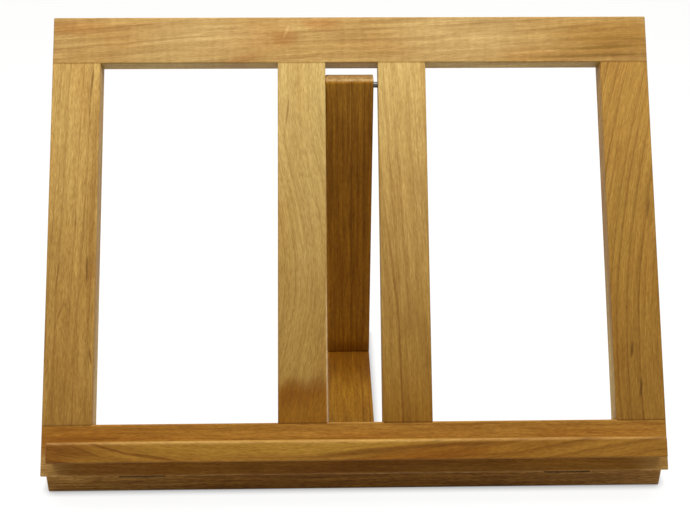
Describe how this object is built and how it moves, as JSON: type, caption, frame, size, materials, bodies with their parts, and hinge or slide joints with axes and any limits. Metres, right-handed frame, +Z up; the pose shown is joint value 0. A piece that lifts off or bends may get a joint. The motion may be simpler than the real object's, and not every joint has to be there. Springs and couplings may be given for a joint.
{
  "type": "tabletop book stand",
  "caption": "Folding wooden book stand: a slatted frame hinged to a base rail, propped by a swinging strut on a base board, with a ledge that carries the book.",
  "frame": {"origin": "on the table, under the middle of the stand's box", "axes": "+X to the right of a reader, +Y to the back, +Z up"},
  "size_m": [0.4, 0.2056, 0.2637],
  "materials": {
    "oiled_hardwood": "sanded and oiled, satin",
    "beech_dowel": "plain, unfinished",
    "polished_steel": "polished",
    "bronzed_steel": "dark bronzed plating"
  },
  "bodies": {
    "base": {"base_rail": "oiled_hardwood", "base_board": "oiled_hardwood", "base_board_dowel_1": "beech_dowel", "base_board_dowel_2": "beech_dowel", "left_hinge_base_leaf": "bronzed_steel", "right_hinge_base_leaf": "bronzed_steel", "left_hinge_pin": "polished_steel", "right_hinge_pin": "polished_steel", "left_hinge_base_screw_1": "polished_steel", "left_hinge_base_screw_2": "polished_steel", "right_hinge_base_screw_1": "polished_steel", "right_hinge_base_screw_2": "polished_steel"},
    "frame": {"top_rail": "oiled_hardwood", "bottom_rail": "oiled_hardwood", "left_outer_stile": "oiled_hardwood", "left_inner_stile": "oiled_hardwood", "right_inner_stile": "oiled_hardwood", "right_outer_stile": "oiled_hardwood", "book_ledge": "oiled_hardwood", "pivot_rod": "polished_steel", "left_outer_stile_bottom_dowel_1": "beech_dowel", "left_outer_stile_bottom_dowel_2": "beech_dowel", "left_outer_stile_top_dowel_1": "beech_dowel", "left_outer_stile_top_dowel_2": "beech_dowel", "left_inner_stile_bottom_dowel_1": "beech_dowel", "left_inner_stile_bottom_dowel_2": "beech_dowel", "left_inner_stile_top_dowel_1": "beech_dowel", "left_inner_stile_top_dowel_2": "beech_dowel", "right_inner_stile_bottom_dowel_1": "beech_dowel", "right_inner_stile_bottom_dowel_2": "beech_dowel", "right_inner_stile_top_dowel_1": "beech_dowel", "right_inner_stile_top_dowel_2": "beech_dowel", "right_outer_stile_bottom_dowel_1": "beech_dowel", "right_outer_stile_bottom_dowel_2": "beech_dowel", "right_outer_stile_top_dowel_1": "beech_dowel", "right_outer_stile_top_dowel_2": "beech_dowel", "ledge_screw_left": "polished_steel", "ledge_screw_middle": "polished_steel", "ledge_screw_right": "polished_steel", "left_hinge_frame_leaf": "bronzed_steel", "right_hinge_frame_leaf": "bronzed_steel", "left_hinge_frame_screw_1": "polished_steel", "left_hinge_frame_screw_2": "polished_steel", "right_hinge_frame_screw_1": "polished_steel", "right_hinge_frame_screw_2": "polished_steel"},
    "strut": {"strut": "oiled_hardwood"}
  },
  "joints": [
    {"name": "frame_tilt", "type": "hinge", "parent": "base", "child": "frame", "pos_m": [0, -0.08573, 0.0135], "axis": [1, 0, 0], "range_deg": [0, 37]},
    {"name": "strut_swing", "type": "hinge", "parent": "frame", "child": "strut", "pos_m": [0, 0.06395, 0.22376], "axis": [1, 0, 0], "range_deg": [-37, 0]}
  ]
}
